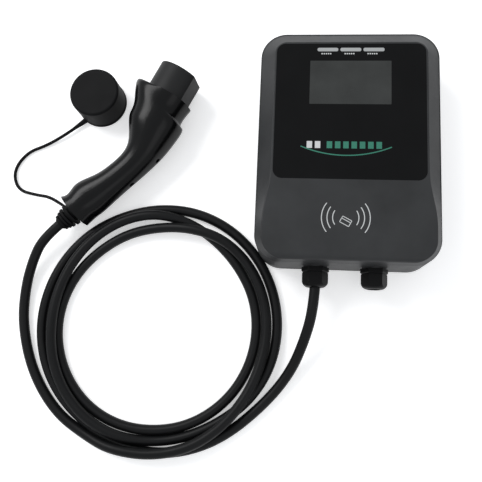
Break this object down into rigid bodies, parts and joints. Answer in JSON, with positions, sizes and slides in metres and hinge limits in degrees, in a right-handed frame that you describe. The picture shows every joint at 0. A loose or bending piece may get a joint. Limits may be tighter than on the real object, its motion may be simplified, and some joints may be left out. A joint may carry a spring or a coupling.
{
  "type": "ev wallbox",
  "caption": "Wall-mounted charging box with a black display panel, status lights, cable glands, and a coiled tethered cable that ends in a curved connector with a tethered dust cap.",
  "frame": {"origin": "the middle of the back face, which hangs against the wall", "axes": "the part lies on its back: +X right, +Y to the top of the box, +Z out of its front"},
  "size_m": [0.5222, 0.4965, 0.08],
  "materials": {
    "housing": "near-black, fine grain, low sheen",
    "seal_rubber": "soft black",
    "panel": "gloss black",
    "lens": "smoked grey window",
    "display": "dark grey",
    "light": "milky white, unlit",
    "board": "green lacquer",
    "part_black": "black",
    "block": "grey",
    "screw_steel": "plated",
    "brass": "turned",
    "gland": "black nylon",
    "cable": "semi-matte black",
    "handle": "gloss black",
    "nose": "dark grey",
    "contact": "silver plated",
    "soft_black": "soft black"
  },
  "bodies": {
    "wallbox": {"rear_shell": "housing", "front_cover": "housing", "cover_gasket": "seal_rubber", "output_gland_washer": "seal_rubber", "supply_gland_washer": "seal_rubber", "output_gland_seal": "seal_rubber", "supply_gland_seal": "seal_rubber", "front_panel": "panel", "display_window": "lens", "display_module": "display", "light_pipe_1": "light", "light_pipe_2": "light", "light_pipe_3": "light", "control_board": "board", "reader_antenna": "board", "main_board": "board", "power_relay_1": "part_black", "power_relay_2": "part_black", "current_sensor": "part_black", "supply_module": "part_black", "terminal_block": "block", "cover_screws": "screw_steel", "main_board_screws": "screw_steel", "control_board_screws": "screw_steel", "terminal_screws": "screw_steel", "handle_screws": "screw_steel", "wall_inserts": "brass", "earth_stud": "brass", "output_gland_body": "gland", "output_gland_locknut": "gland", "supply_gland_body": "gland", "supply_gland_locknut": "gland", "cable_in_gland": "cable", "cable_lead": "cable", "cable_coil": "cable", "cable_run": "cable", "cable_in_boot": "cable", "handle_outer_half": "handle", "handle_inner_half": "handle", "connector_nose": "nose", "contact_carrier": "nose", "earth_contact": "contact", "power_contacts": "contact", "signal_contacts": "contact", "cable_boot": "soft_black", "tether_ring": "soft_black", "tether_cord": "soft_black", "dust_cap": "soft_black"},
    "output_nut": {"output_gland_nut": "gland"},
    "supply_nut": {"supply_gland_nut": "gland"}
  },
  "joints": [
    {"name": "output_nut_turn", "type": "hinge", "parent": "wallbox", "child": "output_nut", "pos_m": [-0.033, -0.152, 0.034], "axis": [0, -1, 0], "range_deg": [0, 360]},
    {"name": "supply_nut_turn", "type": "hinge", "parent": "wallbox", "child": "supply_nut", "pos_m": [0.033, -0.152, 0.034], "axis": [0, -1, 0], "range_deg": [0, 360]}
  ]
}
